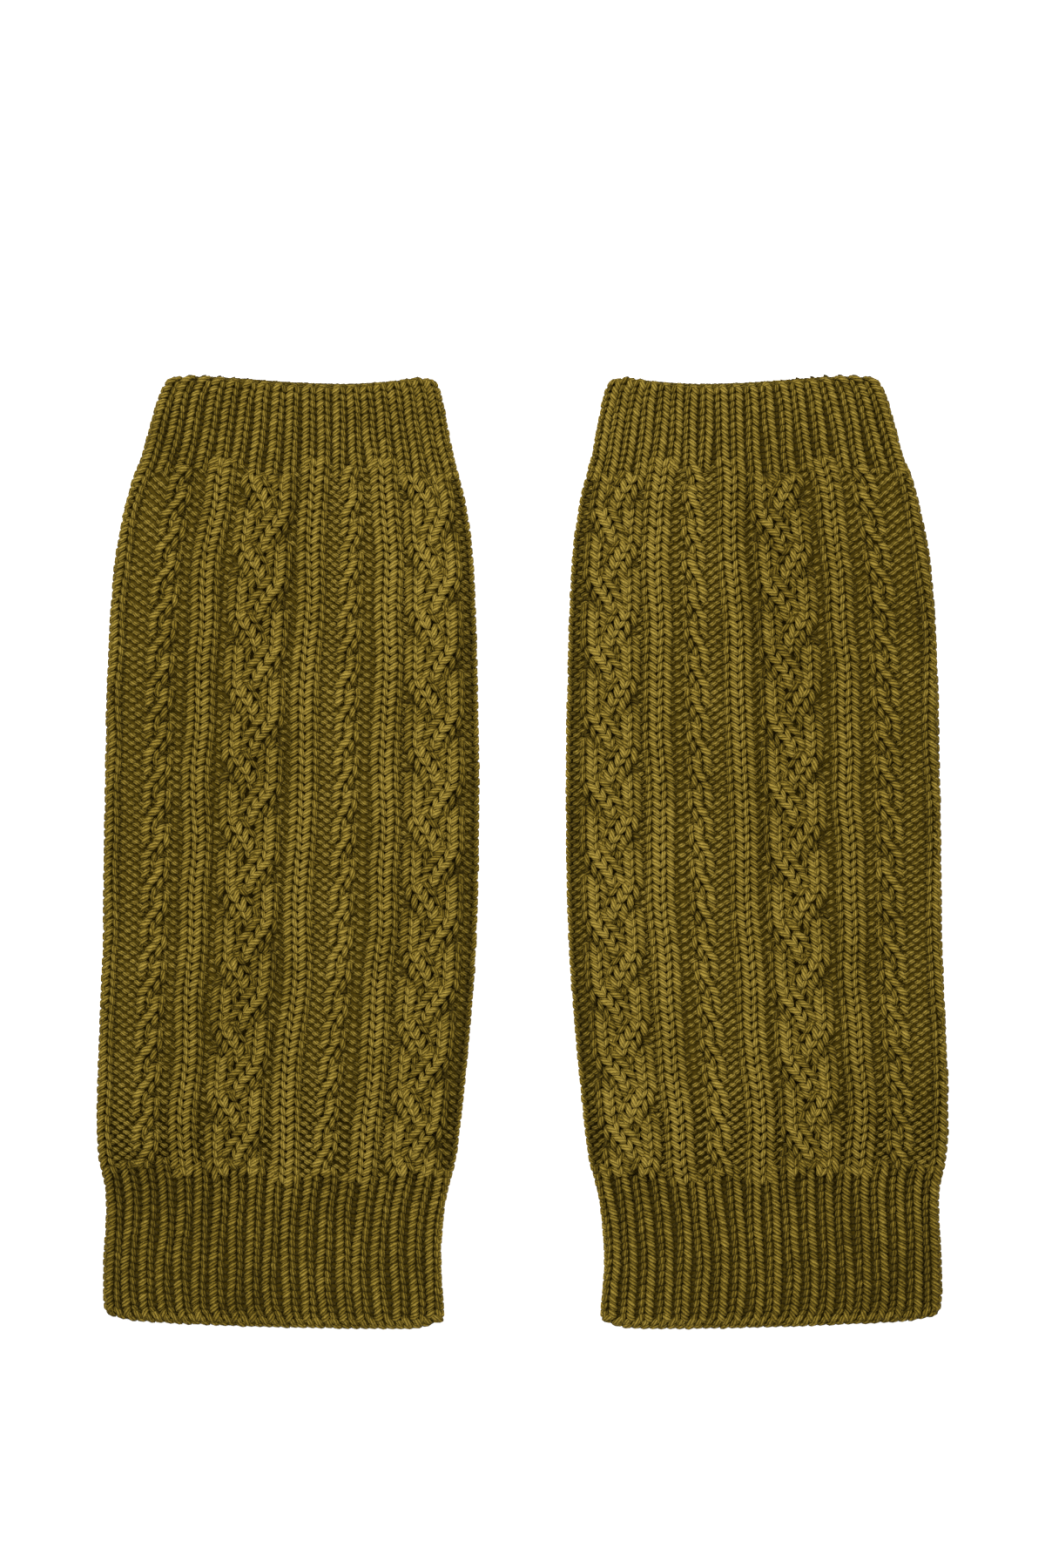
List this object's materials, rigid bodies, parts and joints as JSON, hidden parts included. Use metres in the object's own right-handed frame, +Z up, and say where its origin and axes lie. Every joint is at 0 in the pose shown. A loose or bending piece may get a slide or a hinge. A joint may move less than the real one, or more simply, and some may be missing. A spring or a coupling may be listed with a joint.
{
  "type": "pair of leg warmers",
  "caption": "Long knitted tubes for the lower legs, with ribbed cuffs at both ends and plaited and roped cables on a purl ground, laid flat side by side.",
  "frame": {"origin": "on the surface that the pair lies on, under the middle of the pair", "axes": "+Z up from the surface, +Y along the legs towards the narrower upper cuffs, +X towards the right one of the pair"},
  "size_m": [0.3408, 0.38, 0.01],
  "materials": {
    "wool": "dull olive two-ply wool, knitted"
  },
  "bodies": {
    "root": {"left_lower_cuff_back": "wool", "left_lower_cuff_front": "wool", "left_body_back": "wool", "left_body_front": "wool", "left_upper_cuff_back": "wool", "left_upper_cuff_front": "wool", "right_lower_cuff_back": "wool", "right_lower_cuff_front": "wool", "right_body_back": "wool", "right_body_front": "wool", "right_upper_cuff_back": "wool", "right_upper_cuff_front": "wool"}
  },
  "joints": []
}
